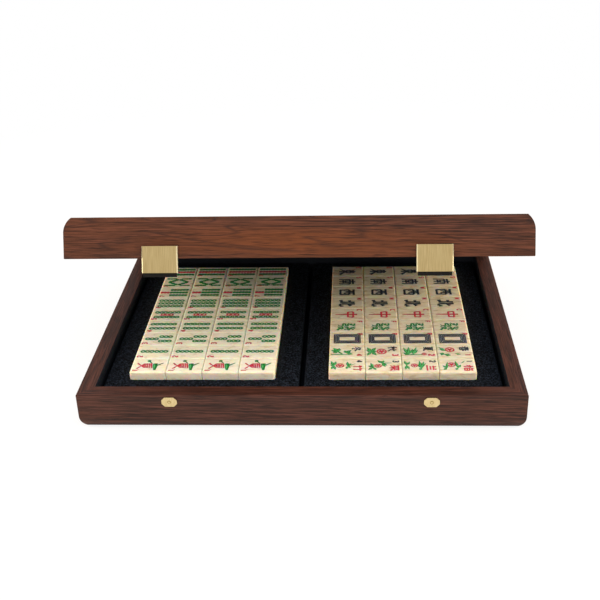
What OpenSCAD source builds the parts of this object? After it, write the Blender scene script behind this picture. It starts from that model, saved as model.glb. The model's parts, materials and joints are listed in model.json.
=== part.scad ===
// Mahjong set: tiles in two layers, in a foam-lined wooden case with a hinged lid.
// Millimetres, +Z up. The front of the case faces -Y, and the origin is the middle of its underside.

/* [Tiles] */
// Length of a tile, which lies along the width of the case
tile_l = 30.3; // [26:0.05:36]
// Width of a tile, from front to back
tile_w = 22.35; // [18:0.05:28]
// Thickness of a tile
tile_t = 12.5; // [9:0.1:18]
// Radius along every edge of a tile
tile_r = 1.2; // [0.4:0.1:3]
// Gap between neighbouring tiles
tile_gap = 0.2; // [0.1:0.05:1]
// Gap under each layer of tiles
layer_gap = 0.1; // [0.05:0.05:0.5]

/* [Foam] */
// Clearance between the tiles and the wall of their well
well_clear = 0.35; // [0.1:0.05:1]
// Foam to the left and right of each well
foam_side = 20.25; // [8:0.25:40]
// Foam in front of and behind each well
foam_end = 22.4; // [8:0.1:40]
// Slit between the two foam trays
foam_slit = 3.5; // [1:0.25:8]
// Slack between the foam and the side rails
foam_slack = 2; // [0.5:0.25:4]
// Slack between the foam and the front and back rails
foam_end_slack = 0.8; // [0.3:0.1:3]
// Height by which the tiles stand above the foam
tile_rise = 5.8; // [2:0.1:10]
// Depth of the lid's pad behind the lid's rim
pad_recess = 0.5; // [0.3:0.1:6]

/* [Case] */
// Thickness of the rails
wall_t = 13.5; // [10:0.5:20]
// Thickness of the bottom and top panels
panel_t = 5.6; // [3:0.2:9]
// Width of the rebate that holds a panel
panel_lap = 5; // [2:0.5:6]
// Clearance round a panel in its rebate
panel_fit = 0.1; // [0.05:0.05:0.4]
// Height of the rim above the tiles
rim_over = 1.2; // [0.5:0.1:6]
// Height of the rounded outer edge
edge_h = 11.8; // [6:0.2:14]
// Inset at the end of the rounded outer edge
edge_inset = 4.9; // [2:0.1:6]
// Chamfer along both edges of the rim
rim_ease = 0.5; // [0.2:0.1:1.5]
// Gap between the rims of the closed case
rim_gap = 0.3; // [0.2:0.1:0.8]
// Angle by which the lid stands open
lid_open = 23.1; // [0:0.1:100]

/* [Hinges] */
// Distance from a hinge's middle to the nearer side of the case
hinge_inset = 70; // [40:1:110]
// Length of a hinge
hinge_l = 38; // [28:1:60]
// Width of a leaf inside the back rail
leaf_w = 9.5; // [6:0.5:9.5]
// Thickness of a leaf
leaf_t = 1.2; // [0.8:0.1:2]
// Clearance round a leaf in its pocket
mortise_clear = 0.1; // [0.05:0.05:0.4]
// Radius of the knuckles
knuckle_r = 2.4; // [2:0.1:3.5]
// Gap between and round the knuckles
knuckle_gap = 0.3; // [0.2:0.05:0.6]
// Radius of the hinge pin
pin_r = 1.1; // [0.8:0.1:1.5]
// Running clearance round the hinge pin
pin_clear = 0.05; // [0.02:0.01:0.1]
// Radius of the pin's two heads
pin_head_r = 1.9; // [1.6:0.1:2.4]
// Length of each head of the pin
pin_head_h = 1; // [0.5:0.1:2]

/* [Screws] */
// Radius of a screw's shank
screw_r = 0.9; // [0.6:0.1:1.2]
// Radius of a screw's countersunk head
screw_head_r = 1.7; // [1.4:0.1:2.2]
// Height of a screw's countersunk head
screw_head_h = 0.9; // [0.6:0.1:1.1]
// Length of a hinge screw
screw_l = 9; // [6:0.5:14]
// Clearance round a screw
screw_clear = 0.05; // [0.02:0.01:0.2]
// Width of the slot in a screw's head
slot_w = 0.5; // [0.3:0.1:0.8]
// Depth of the slot in a screw's head
slot_depth = 0.4; // [0.2:0.1:0.5]

/* [Clasps] */
// Distance from a clasp's middle to the nearer side of the case
clasp_inset = 75.5; // [40:0.5:110]
// Width of the brass cover
cover_w = 27.6; // [20:0.2:36]
// Height of the cover above the lid's rim
cover_lap = 9.7; // [6:0.1:14]
// Drop of the cover below the lid's rim
cover_drop = 10.9; // [8:0.1:14]
// Thickness of the cover's sheet
cover_t = 0.8; // [0.5:0.1:1.2]
// Bevel along the cover's two upright edges
cover_bevel = 0.7; // [0.2:0.1:1.5]
// Clearance between the cover and the closed base
cover_clear = 0.4; // [0.3:0.1:1]
// Thickness of the block inside the cover
block_t = 3.6; // [3:0.1:5]
// Drop of the block below the cover
block_drop = 3.2; // [1:0.1:5]
// Clearance between the block and the cover
block_fit = 0.1; // [0.05:0.05:0.2]
// Radius of the magnet in a block
magnet_r = 4; // [2:0.5:5]
// Thickness of the magnet in a block
magnet_t = 1.2; // [0.6:0.1:1.5]
// Clearance round the magnet in its pocket
magnet_fit = 0.1; // [0.05:0.05:0.3]
// Distance between the two screws of a clasp
clasp_screw_gap = 14; // [8:0.5:18]
// Depth of a clasp screw in the block
clasp_screw_bite = 2.4; // [1:0.1:2.8]

/* [Strikes] */
// Width of a strike plate
strike_w = 12.4; // [9:0.1:20]
// Height of a strike plate
strike_h = 8.6; // [6:0.1:10]
// Cut across each corner of a strike plate
strike_cut = 2.6; // [1:0.1:2.8]
// Thickness of a strike plate
strike_t = 0.8; // [0.5:0.1:1.2]
// Distance from the rim down to a strike plate
strike_top = 1.8; // [1:0.1:4]
// Clearance between the closed clasp and the rivet of its strike
strike_clear = 0.4; // [0.3:0.1:0.8]
// Radius of the rivet's shank
rivet_r = 0.9; // [0.6:0.1:1.4]
// Radius of the rivet's head
rivet_head_r = 1.6; // [1.5:0.1:2.4]
// Height of the rivet's head
rivet_head_h = 0.5; // [0.3:0.1:0.6]
// Clearance round the rivet's shank
rivet_clear = 0.05; // [0.02:0.01:0.2]
// Depth of the rivet in the front rail
rivet_l = 7; // [4:0.5:9]

/* [Hidden] */
$fn = 48;
// How far every cut runs past the face it opens
overrun = 1;

// Counts in each well
columns = 4;
rows = 9;
layers = 2;
left_side = -1;
right_side = 1;
lower_layer = 0;
upper_layer = 1;

// Blocks of tiles and their wells
pitch_x = tile_l + tile_gap;
pitch_y = tile_w + tile_gap;
layer_h = tile_t + layer_gap;
block_l = columns * pitch_x - tile_gap;
block_d = rows * pitch_y - tile_gap;
well_l = block_l + 2 * well_clear;
well_d = block_d + 2 * well_clear;
well_x = (foam_slit + well_l) / 2 + foam_side;

// Inside and outside of the case
inner_w = foam_slit + 2 * (well_l + 2 * foam_side + foam_slack);
inner_d = well_d + 2 * (foam_end + foam_end_slack);
case_w = inner_w + 2 * wall_t;
case_d = inner_d + 2 * wall_t;
floor_z = panel_t;
tile_top = floor_z + layers * layer_h;
half_h = tile_top + rim_over;
foam_top = tile_top - tile_rise;
front_y = -case_d / 2;
back_y = case_d / 2;
// Radius that leaves the outer face square and ends at the inset
edge_r = (pow(edge_h, 2) + pow(edge_inset, 2)) / (2 * edge_inset);

// Line that the lid turns on, outside the back face and between the two rims
hinge_stand = knuckle_r + knuckle_gap;
axis_y = back_y + hinge_stand;
axis_z = half_h + rim_gap / 2;
hinge_x = case_w / 2 - hinge_inset;
knuckles = 5;
knuckle_l = hinge_l / knuckles;
base_knuckles = [0, 2, 4];
lid_knuckles = [1, 3];
pin_l = hinge_l + 2 * knuckle_gap;
// Places of a leaf's screws, as shares of the hinge's length
leaf_screw_shares = [-0.36, 0, 0.36];
leaf_screw_y = back_y - leaf_w / 2;

// Clasps, described with the lid closed
clasp_x = case_w / 2 - clasp_inset;
lid_rim = half_h + rim_gap;
cover_h = cover_lap + cover_drop;
block_w = cover_w - 2 * (cover_t + block_fit);
block_face = front_y - block_t;
// Depth that the block is cut back by, where it hangs over the strike
block_relief = strike_t + rivet_head_h + strike_clear;
strike_z = half_h - strike_top - strike_h / 2;
clasp_screw_l = wall_t + clasp_screw_bite;
clasp_screw_z = lid_rim + cover_lap / 2;
inner_front = front_y + wall_t;

// Colours
wood = "#54301f";
foam = "#16181d";
brass = "#c6a352";
black = "#1c1c1e";
ivory = "#efe4cd";
steel = "#b4b5b8";

suit_size = [1 : rows];
BAMBOO = [for (n = suit_size) str("tiles_bamboo_", n)];
DOTS = [for (n = suit_size) str("tiles_dot_", n)];
CHARACTERS = [for (n = suit_size) str("tiles_character_", n)];
HONOURS = [
    "tiles_flower", "tiles_season", "tiles_white_dragon", "tiles_green_dragon", "tiles_red_dragon",
    "tiles_north_wind", "tiles_west_wind", "tiles_south_wind", "tiles_east_wind"
];
BASE = [
    "base_front_rail", "base_back_rail", "base_left_rail", "base_right_rail", "base_bottom_panel",
    "foam_tray_left", "foam_tray_right", "strike_plates", "strike_rivets",
    "hinge_leaves_base", "hinge_pins", "hinge_screws_base"
];
LID = [
    "lid_front_rail", "lid_back_rail", "lid_left_rail", "lid_right_rail", "lid_top_panel", "lid_pad",
    "clasp_covers", "clasp_blocks", "clasp_magnets", "clasp_screws",
    "hinge_leaves_lid", "hinge_screws_lid"
];

// Puts a piece that is described with the lid closed where the open lid has it
module on_lid() {
    translate([0, axis_y, axis_z])
        rotate([-lid_open, 0, 0])
            translate([0, -axis_y, -axis_z])
                children();
}

// Puts a piece of the lower half where the lid has its like
module on_lid_half() {
    on_lid()
        translate([0, 0, 2 * axis_z])
            mirror([0, 0, 1])
                children();
}

// Repeats a piece at the same distance left and right of the middle
module both_sides(x) {
    for (side = [left_side, right_side])
        translate([side * x, 0, 0])
            children();
}

// Rectangle about the origin with round corners
module rounded_rectangle(l, w, r) {
    square([l - 2 * r, w], center = true);
    square([l, w - 2 * r], center = true);
    for (x = [-1, 1], y = [-1, 1])
        translate([x * (l / 2 - r), y * (w / 2 - r)])
            circle(r);
}

// One tile about the origin, with every edge rounded
module tile() {
    intersection() {
        linear_extrude(tile_t, center = true)
            rounded_rectangle(tile_l, tile_w, tile_r);
        rotate([90, 0, 0])
            linear_extrude(tile_w, center = true)
                rounded_rectangle(tile_l, tile_t, tile_r);
        rotate([90, 0, 90])
            linear_extrude(tile_l, center = true)
                rounded_rectangle(tile_w, tile_t, tile_r);
    }
}

// One row of like tiles: row 0 is the front one
module tile_row(side, layer, row) {
    first_x = side * well_x - (block_l - tile_l) / 2;
    y = row * pitch_y - (block_d - tile_w) / 2;
    z = floor_z + layer * layer_h + layer_gap + tile_t / 2;
    color(ivory)
        for (column = [0 : columns - 1])
            translate([first_x + column * pitch_x, y, z])
                tile();
}

// Section of a rail: x runs from the outer face inwards, y from the outer edge up to the rim
module rail_section() {
    difference() {
        polygon([
            [0, 0],
            [wall_t, 0],
            [wall_t, half_h - rim_ease],
            [wall_t - rim_ease, half_h],
            [rim_ease, half_h],
            [0, half_h - rim_ease]
        ]);
        difference() {
            translate([-overrun, -overrun])
                square([edge_inset + overrun, edge_h + overrun]);
            translate([edge_r, edge_h])
                circle(edge_r);
        }
        translate([wall_t - panel_lap, -overrun])
            square([panel_lap + overrun, panel_t + overrun]);
    }
}

// Rail along X with mitred ends, its outer face on the XZ plane and facing -Y
module rail(length) {
    intersection() {
        rotate([90, 0, 90])
            linear_extrude(length, center = true)
                rail_section();
        linear_extrude(half_h)
            polygon([
                [-length / 2, 0],
                [length / 2, 0],
                [length / 2 - wall_t, wall_t],
                [wall_t - length / 2, wall_t]
            ]);
    }
}

module front_rail() {
    translate([0, front_y, 0])
        rail(case_w);
}

module back_rail() {
    difference() {
        rotate([0, 0, 180])
            front_rail();
        both_sides(hinge_x) {
            leaf_mortise();
            at_leaf_screws()
                screw_hole(screw_l);
        }
    }
}

// Side is -1 for the left rail and 1 for the right one
module side_rail(side) {
    rotate([0, 0, side * 90])
        translate([0, -case_w / 2, 0])
            rail(case_d);
}

module panel() {
    lap = panel_lap - panel_fit;
    translate([0, 0, panel_t / 2])
        cube([inner_w + 2 * lap, inner_d + 2 * lap, panel_t], center = true);
}

// Countersunk wood screw, its head's face at the origin and its point down
module screw(length) {
    rotate_extrude()
        polygon([
            [0, 0],
            [screw_head_r, 0],
            [screw_r, -screw_head_h],
            [screw_r, -length],
            [0, -length - screw_r]
        ]);
}

// Hole that a screw goes in, open at its head
module screw_hole(length) {
    hole_r = screw_r + screw_clear;
    mouth_r = screw_head_r + screw_clear;
    rotate_extrude()
        polygon([
            [0, overrun],
            [mouth_r, overrun],
            [mouth_r, 0],
            [hole_r, -screw_head_h],
            [hole_r, -length],
            [0, -length - hole_r]
        ]);
}

module slotted_screw(length) {
    difference() {
        screw(length);
        translate([0, 0, overrun / 2 - slot_depth])
            cube([2 * screw_head_r + overrun, slot_w, slot_depth + overrun], center = true);
    }
}

// Pocket for one leaf in the rim of a back rail
module leaf_mortise() {
    translate([-hinge_l / 2 - mortise_clear, back_y - leaf_w - mortise_clear, half_h - leaf_t])
        cube([hinge_l + 2 * mortise_clear, leaf_w + mortise_clear + overrun, leaf_t + overrun]);
}

// Repeats a screw, or the hole for it, at its places in one leaf
module at_leaf_screws() {
    for (share = leaf_screw_shares)
        translate([share * hinge_l, leaf_screw_y, half_h])
            children();
}

// Round bar along X, about the hinge's line, over one knuckle's place
module knuckle(place, r, length) {
    translate([place * knuckle_l - (hinge_l - knuckle_l) / 2, axis_y, axis_z])
        rotate([0, 90, 0])
            cylinder(h = length, r = r, center = true);
}

// Leaf of a hinge, with its own knuckles and room for the other leaf's
module leaf(own, other) {
    difference() {
        union() {
            translate([-hinge_l / 2, back_y - leaf_w, half_h - leaf_t])
                cube([hinge_l, leaf_w + hinge_stand, leaf_t]);
            for (place = own)
                knuckle(place, knuckle_r, knuckle_l - knuckle_gap);
        }
        for (place = other)
            knuckle(place, knuckle_r + knuckle_gap, knuckle_l + knuckle_gap);
        translate([0, axis_y, axis_z])
            rotate([0, 90, 0])
                cylinder(h = hinge_l + 2 * overrun, r = pin_r + pin_clear, center = true);
        at_leaf_screws()
            screw_hole(screw_l);
    }
}

module hinge_pin() {
    translate([0, axis_y, axis_z])
        rotate([0, 90, 0]) {
            cylinder(h = pin_l, r = pin_r, center = true);
            for (side = [left_side, right_side])
                translate([0, 0, side * (pin_l + pin_head_h) / 2])
                    cylinder(h = pin_head_h, r = pin_head_r, center = true);
        }
}

module base_front_rail() {
    color(wood)
        difference() {
            front_rail();
            both_sides(clasp_x)
                rivet_hole();
        }
}

module base_back_rail() {
    color(wood)
        back_rail();
}

module base_left_rail() {
    color(wood)
        side_rail(left_side);
}

module base_right_rail() {
    color(wood)
        side_rail(right_side);
}

module base_bottom_panel() {
    color(wood)
        panel();
}

// Block of foam with a well cut right through it
module foam_tray(side) {
    tray_w = well_l + 2 * foam_side;
    tray_d = well_d + 2 * foam_end;
    color(foam)
        translate([side * well_x, 0, floor_z])
            linear_extrude(foam_top - floor_z)
                difference() {
                    square([tray_w, tray_d], center = true);
                    square([well_l, well_d], center = true);
                }
}

module foam_tray_left() {
    foam_tray(left_side);
}

module foam_tray_right() {
    foam_tray(right_side);
}

// Plate with cut corners on the front face, under a closed clasp
module strike_plates() {
    color(brass)
        both_sides(clasp_x)
            difference() {
                translate([0, front_y, strike_z])
                    rotate([90, 0, 0])
                        linear_extrude(strike_t)
                            cut_rectangle(strike_w, strike_h, strike_cut);
                rivet_hole();
            }
}

// Rectangle about the origin with its corners cut off
module cut_rectangle(w, h, cut) {
    polygon([
        [cut - w / 2, -h / 2],
        [w / 2 - cut, -h / 2],
        [w / 2, cut - h / 2],
        [w / 2, h / 2 - cut],
        [w / 2 - cut, h / 2],
        [cut - w / 2, h / 2],
        [-w / 2, h / 2 - cut],
        [-w / 2, cut - h / 2]
    ]);
}

// Puts a rivet, or the hole for it, in its strike: the strike's face is at the origin, the rail below
module at_strike() {
    translate([0, front_y - strike_t, strike_z])
        rotate([90, 0, 0])
            children();
}

module rivet_hole() {
    depth = strike_t + rivet_l + rivet_clear;
    at_strike()
        translate([0, 0, -depth])
            cylinder(h = depth + overrun, r = rivet_r + rivet_clear);
}

module strike_rivets() {
    color(brass)
        both_sides(clasp_x)
            at_strike() {
                cylinder(h = rivet_head_h, r1 = rivet_head_r, r2 = rivet_r);
                translate([0, 0, -strike_t - rivet_l])
                    cylinder(h = strike_t + rivet_l, r = rivet_r);
            }
}

module hinge_leaves_base() {
    color(brass)
        both_sides(hinge_x)
            leaf(base_knuckles, lid_knuckles);
}

module hinge_pins() {
    color(brass)
        both_sides(hinge_x)
            hinge_pin();
}

module hinge_screws_base() {
    color(brass)
        both_sides(hinge_x)
            at_leaf_screws()
                slotted_screw(screw_l);
}

module lid_front_rail() {
    color(wood)
        difference() {
            on_lid_half()
                front_rail();
            on_lid()
                both_sides(clasp_x)
                    at_clasp_screws()
                        screw_hole(clasp_screw_l);
        }
}

module lid_back_rail() {
    color(wood)
        on_lid_half()
            back_rail();
}

module lid_left_rail() {
    color(wood)
        on_lid_half()
            side_rail(left_side);
}

module lid_right_rail() {
    color(wood)
        on_lid_half()
            side_rail(right_side);
}

module lid_top_panel() {
    color(wood)
        on_lid_half()
            panel();
}

// Thick foam pad that fills the lid and keeps the tiles down
module lid_pad() {
    pad_w = inner_w - 2 * foam_slack;
    pad_d = inner_d - 2 * foam_end_slack;
    pad_h = half_h - pad_recess - floor_z;
    color(foam)
        on_lid_half()
            translate([0, 0, floor_z + pad_h / 2])
                cube([pad_w, pad_d, pad_h], center = true);
}

// Brass sheet bent round three sides of a clasp's block
module clasp_covers() {
    outer = block_face - block_fit - cover_t;
    inner = block_face - block_fit;
    back = front_y - cover_clear;
    half_w = cover_w / 2;
    inner_half_w = half_w - cover_t;
    color(brass)
        on_lid()
            both_sides(clasp_x)
                translate([0, 0, lid_rim - cover_drop])
                    linear_extrude(cover_h)
                        polygon([
                            [-half_w, back],
                            [-half_w, outer + cover_bevel],
                            [cover_bevel - half_w, outer],
                            [half_w - cover_bevel, outer],
                            [half_w, outer + cover_bevel],
                            [half_w, back],
                            [inner_half_w, back],
                            [inner_half_w, inner],
                            [-inner_half_w, inner],
                            [-inner_half_w, back]
                        ]);
}

// Block that carries the magnet: it is fixed to the lid and hangs over the strike
module clasp_blocks() {
    top = lid_rim + cover_lap;
    foot = lid_rim - cover_drop - block_drop;
    color(black)
        on_lid()
            both_sides(clasp_x)
                difference() {
                    rotate([90, 0, 90])
                        linear_extrude(block_w, center = true)
                            polygon([
                                [block_face, foot],
                                [front_y - block_relief, foot],
                                [front_y - block_relief, lid_rim],
                                [front_y, lid_rim],
                                [front_y, top],
                                [block_face, top]
                            ]);
                    magnet(magnet_fit);
                    at_clasp_screws()
                        screw_hole(clasp_screw_l);
                }
}

// Disc magnet in the face of a block, or the pocket for it
module magnet(grow) {
    translate([0, block_face + magnet_t, strike_z])
        rotate([90, 0, 0])
            cylinder(h = magnet_t + grow, r = magnet_r + grow);
}

module clasp_magnets() {
    color(steel)
        on_lid()
            both_sides(clasp_x)
                magnet(0);
}

// Repeats a screw, or the hole for it, at its places inside the lid's front rail
module at_clasp_screws() {
    for (side = [left_side, right_side])
        translate([side * clasp_screw_gap / 2, inner_front, clasp_screw_z])
            rotate([-90, 0, 0])
                children();
}

module clasp_screws() {
    color(steel)
        on_lid()
            both_sides(clasp_x)
                at_clasp_screws()
                    slotted_screw(clasp_screw_l);
}

module hinge_leaves_lid() {
    color(brass)
        on_lid_half()
            both_sides(hinge_x)
                leaf(lid_knuckles, base_knuckles);
}

module hinge_screws_lid() {
    color(brass)
        on_lid_half()
            both_sides(hinge_x)
                at_leaf_screws()
                    slotted_screw(screw_l);
}

base_front_rail();
base_back_rail();
base_left_rail();
base_right_rail();
base_bottom_panel();
foam_tray_left();
foam_tray_right();
strike_plates();
strike_rivets();
hinge_leaves_base();
hinge_pins();
hinge_screws_base();
lid_front_rail();
lid_back_rail();
lid_left_rail();
lid_right_rail();
lid_top_panel();
lid_pad();
clasp_covers();
clasp_blocks();
clasp_magnets();
clasp_screws();
hinge_leaves_lid();
hinge_screws_lid();
for (row = [0 : rows - 1]) {
    tile_row(left_side, upper_layer, row);
    tile_row(left_side, lower_layer, row);
    tile_row(right_side, upper_layer, row);
    tile_row(right_side, lower_layer, row);
}
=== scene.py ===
import json
import math

import bpy
from mathutils import Matrix, Vector


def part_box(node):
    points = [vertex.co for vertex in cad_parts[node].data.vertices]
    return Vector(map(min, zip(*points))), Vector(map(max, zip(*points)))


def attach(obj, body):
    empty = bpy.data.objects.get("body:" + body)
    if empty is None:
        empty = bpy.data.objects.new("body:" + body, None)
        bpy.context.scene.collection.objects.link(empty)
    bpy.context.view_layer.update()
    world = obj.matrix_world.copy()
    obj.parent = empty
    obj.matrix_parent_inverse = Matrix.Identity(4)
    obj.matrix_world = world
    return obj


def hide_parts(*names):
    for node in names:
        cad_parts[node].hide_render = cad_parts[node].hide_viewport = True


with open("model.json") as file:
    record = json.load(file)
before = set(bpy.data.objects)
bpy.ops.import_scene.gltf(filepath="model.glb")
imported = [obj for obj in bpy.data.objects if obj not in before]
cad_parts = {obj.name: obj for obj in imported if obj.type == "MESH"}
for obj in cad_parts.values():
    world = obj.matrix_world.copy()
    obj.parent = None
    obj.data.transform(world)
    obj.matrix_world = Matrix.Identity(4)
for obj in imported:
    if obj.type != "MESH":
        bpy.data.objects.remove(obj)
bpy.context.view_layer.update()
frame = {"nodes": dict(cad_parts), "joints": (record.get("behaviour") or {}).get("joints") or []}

MM = 0.001

# Rows of tiles, front row first: the left block has bamboos over dots, the right block honours over
# characters
RANKS = range(1, 10)
BAMBOO_ROWS = [f"tiles_bamboo_{rank}" for rank in RANKS]
DOT_ROWS = [f"tiles_dot_{rank}" for rank in RANKS]
CHARACTER_ROWS = [f"tiles_character_{rank}" for rank in RANKS]
HONOUR_ROWS = [
    "tiles_flower", "tiles_season", "tiles_white_dragon", "tiles_green_dragon", "tiles_red_dragon",
    "tiles_north_wind", "tiles_west_wind", "tiles_south_wind", "tiles_east_wind",
]
LEFT_BLOCK = BAMBOO_ROWS + DOT_ROWS
RIGHT_BLOCK = HONOUR_ROWS + CHARACTER_ROWS
TILES_IN_ROW = 4
COLUMNS = range(TILES_IN_ROW)
TILE_LENGTH = 30.3 * MM
TILE_GAP = 0.2 * MM
LAYER_GAP = 0.1 * MM

# The lid turns on its hinge: at rest it is this far from shut
lid_hinge = next(joint for joint in frame["joints"] if joint["name"] == "lid_hinge")
lid_open = math.radians(-lid_hinge["range_deg"][0])
hinge_place = Vector(lid_hinge["pos_m"])
hinge_axis = Vector(lid_hinge["axis"])
to_hinge = Matrix.Translation(hinge_place)
lid_turn = to_hinge @ Matrix.Rotation(lid_open, 4, hinge_axis) @ to_hinge.inverted()
lid_tilt = Matrix.Rotation(lid_open, 3, hinge_axis).to_euler()


def extent(points):
    """Lowest and highest corner round some points."""
    low = Vector([min(point[axis] for point in points) for axis in range(3)])
    high = Vector([max(point[axis] for point in points) for axis in range(3)])
    return low, high


def block_box(rows):
    """Lowest and highest corner of several rows of tiles."""
    return extent([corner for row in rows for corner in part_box(row)])


# Colours and nodes

def colour(code):
    """Linear colour of an sRGB hex value."""
    parts = [int(code[place:place + 2], 16) / 255 for place in (1, 3, 5)]
    linear = [part / 12.92 if part <= 0.04045 else ((part + 0.055) / 1.055) ** 2.4 for part in parts]
    return (*linear, 1)


def node(tree, kind, inputs=None, ramp=None, **settings):
    """Adds a node with its settings, its inputs and the stops of its colour ramp.

    An input is a value, a socket to link, or a node whose first output in use is linked.
    """
    made = tree.nodes.new(kind)
    for name, value in settings.items():
        setattr(made, name, value)
    for name, value in (inputs or {}).items():
        if isinstance(value, bpy.types.Node):
            value = next(output for output in value.outputs if output.enabled)
        if isinstance(value, bpy.types.NodeSocket):
            tree.links.new(value, made.inputs[name])
        else:
            made.inputs[name].default_value = value
    if ramp:
        stops = made.color_ramp.elements
        while len(stops) < len(ramp):
            stops.new(1)
        for stop, (place, shade) in zip(stops, ramp):
            stop.position = place
            stop.color = colour(shade) if isinstance(shade, str) else (shade, shade, shade, 1)
    return made


def new_material(name):
    """An empty material, its nodes, and the object coordinates that its patterns use."""
    material = bpy.data.materials.new(name)
    material.use_nodes = True
    tree = material.node_tree
    tree.nodes.clear()
    place = node(tree, "ShaderNodeTexCoord").outputs["Object"]
    return material, tree, place


# Stained oak, planed and oiled: reddish brown with fine lines along the grain, blue-black lines that slant
# where the rings run out of a face, open pores, and a painted pool of warm light on the lid's front
# One oak in two copies: darker tones on the base for painted shade, lighter ones on the lid for painted light
SHADED_BASE_TONES = ("#27140f", "#3d2219", "#533027")
LIT_LID_TONES = ("#2a1610", "#442618", "#5c3426")
OAK_GLOW = "#683512"
OAK_RING = "#1a0f0d"
RING_SLANT = math.radians(5)
# Half width of a ring's line, as a part of the noise's range
RING_LINE = 0.025
# Patterns of the oak: length along the grain, width, slant, and the settings of the noise
OAK_PATTERNS = {
    "streaks": (100 * MM, 1.6 * MM, RING_SLANT / 2, {"Detail": 4, "Roughness": 0.6, "Distortion": 0.1}),
    "lines": (50 * MM, 0.8 * MM, 0, {"Detail": 3, "Roughness": 0.65}),
    "rings": (320 * MM, 9 * MM, RING_SLANT, {"Detail": 0.5, "Roughness": 0.4}),
    "boards": (260 * MM, 26 * MM, 0, {"Detail": 2, "Distortion": 0.6}),
    # Real pores are about 0.3 mm wide: they are drawn wider, so that they show
    "pores": (18 * MM, 0.8 * MM, 0, {"Detail": 2, "Roughness": 0.5}),
}
PORE_DEPTH = 0.25 * MM
# Shares of the streaks in the tone, and of the painted pool of warm light in the glow
STREAK_SHARE = 0.6
LIGHT_POOL_SHARE = 0.8
LIGHT_POOL_SIZE = (150 * MM, 60 * MM, 20 * MM)
# Painted shade inside the case: faces that point inwards are painted nearly black, with a faint nap
PAINTED_SHADE_DARK = "#06070a"
PAINTED_SHADE_LIGHT = "#1f242d"
# Cosine of the angle up to which a face gets the painted shade
SHADED_COSINE = 0.5


def oak(name, tones, along_x, tilt, glow, ringed, heart=None, shaded_side=None):
    """Oak with its grain along X or Y of boards that are tilted at rest, and its amounts of glow and rings.

    It may have a painted pool of warm light round a place, and painted shade on faces that point one way.
    """
    material, tree, place = new_material(name)
    on_board = node(tree, "ShaderNodeMapping", {"Vector": place, "Rotation": tilt}, vector_type="TEXTURE")
    noise = {}
    for pattern, (length, width, slant, settings) in OAK_PATTERNS.items():
        lean = (0, slant, slant) if along_x else (slant, 0, slant)
        size = (length, width, width) if along_x else (width, length, width)
        stretched = node(tree, "ShaderNodeMapping", {"Vector": on_board, "Rotation": lean, "Scale": size},
                         vector_type="TEXTURE")
        noise[pattern] = node(tree, "ShaderNodeTexNoise", {"Vector": stretched, "Scale": 1, **settings})
    tone = node(tree, "ShaderNodeMath", {0: noise["streaks"], 1: STREAK_SHARE, 2: noise["lines"]},
                operation="MULTIPLY_ADD")
    stain = node(tree, "ShaderNodeValToRGB", {"Fac": tone}, ramp=[
        (0.66, tones[0]), (0.8, tones[1]), (0.94, tones[2])])
    warm = node(tree, "ShaderNodeMapRange", {
        "Value": noise["boards"], "From Min": 0.42, "From Max": 0.68, "To Min": 0, "To Max": glow})
    # Painted pool of warm light: a round patch that warms the wood round one place
    if heart:
        round_light_pool = node(tree, "ShaderNodeMapping", {
            "Vector": place, "Location": heart, "Rotation": tilt, "Scale": LIGHT_POOL_SIZE}, vector_type="TEXTURE")
        patch = node(tree, "ShaderNodeTexGradient", {"Vector": round_light_pool}, gradient_type="SPHERICAL")
        patchy = node(tree, "ShaderNodeMath", {0: patch.outputs["Fac"], 1: tone}, operation="MULTIPLY")
        warm = node(tree, "ShaderNodeMath", {0: patchy, 1: LIGHT_POOL_SHARE, 2: warm},
                    operation="MULTIPLY_ADD", use_clamp=True)
    board = node(tree, "ShaderNodeMix", {0: warm, 6: stain, 7: colour(OAK_GLOW)}, data_type="RGBA")
    from_ring = node(tree, "ShaderNodeMath", {0: noise["rings"], 1: 0.5}, operation="SUBTRACT")
    off_ring = node(tree, "ShaderNodeMath", {0: from_ring}, operation="ABSOLUTE")
    near_ring = node(tree, "ShaderNodeMapRange", {
        "Value": off_ring, "From Min": 0, "From Max": RING_LINE, "To Min": ringed, "To Max": 0})
    broken = node(tree, "ShaderNodeMapRange", {"Value": noise["pores"], "From Min": 0.35, "From Max": 0.55})
    ring_line = node(tree, "ShaderNodeMath", {0: near_ring, 1: broken}, operation="MULTIPLY")
    cut = node(tree, "ShaderNodeMix", {0: ring_line, 6: board, 7: colour(OAK_RING)}, data_type="RGBA")
    open_pores = node(tree, "ShaderNodeValToRGB", {"Fac": noise["pores"]}, ramp=[(0.33, 0.35), (0.46, 1.0)])
    shade = node(tree, "ShaderNodeMix", {0: 1.0, 6: cut, 7: open_pores},
                 data_type="RGBA", blend_type="MULTIPLY")
    # Painted shade: faces that point one way are painted nearly black, with a faint nap
    if shaded_side:
        facing = node(tree, "ShaderNodeVectorMath", {
            0: node(tree, "ShaderNodeTexCoord").outputs["Normal"], 1: shaded_side}, operation="DOT_PRODUCT")
        shaded_face = node(tree, "ShaderNodeMath", {0: facing, 1: SHADED_COSINE}, operation="GREATER_THAN")
        painted_shade = node(tree, "ShaderNodeMix", {
            0: noise["pores"], 6: colour(PAINTED_SHADE_DARK), 7: colour(PAINTED_SHADE_LIGHT)}, data_type="RGBA")
        shade = node(tree, "ShaderNodeMix", {0: shaded_face, 6: shade, 7: painted_shade}, data_type="RGBA")
    relief = node(tree, "ShaderNodeBump", {"Height": open_pores, "Strength": 0.5, "Distance": PORE_DEPTH})
    gloss = node(tree, "ShaderNodeMapRange", {"Value": noise["streaks"], "To Min": 0.5, "To Max": 0.68})
    shader = node(tree, "ShaderNodeBsdfPrincipled", {
        "Base Color": shade, "Roughness": gloss, "IOR": 1.5, "Specular IOR Level": 0.22, "Normal": relief})
    node(tree, "ShaderNodeOutputMaterial", {"Surface": shader})
    return material


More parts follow.
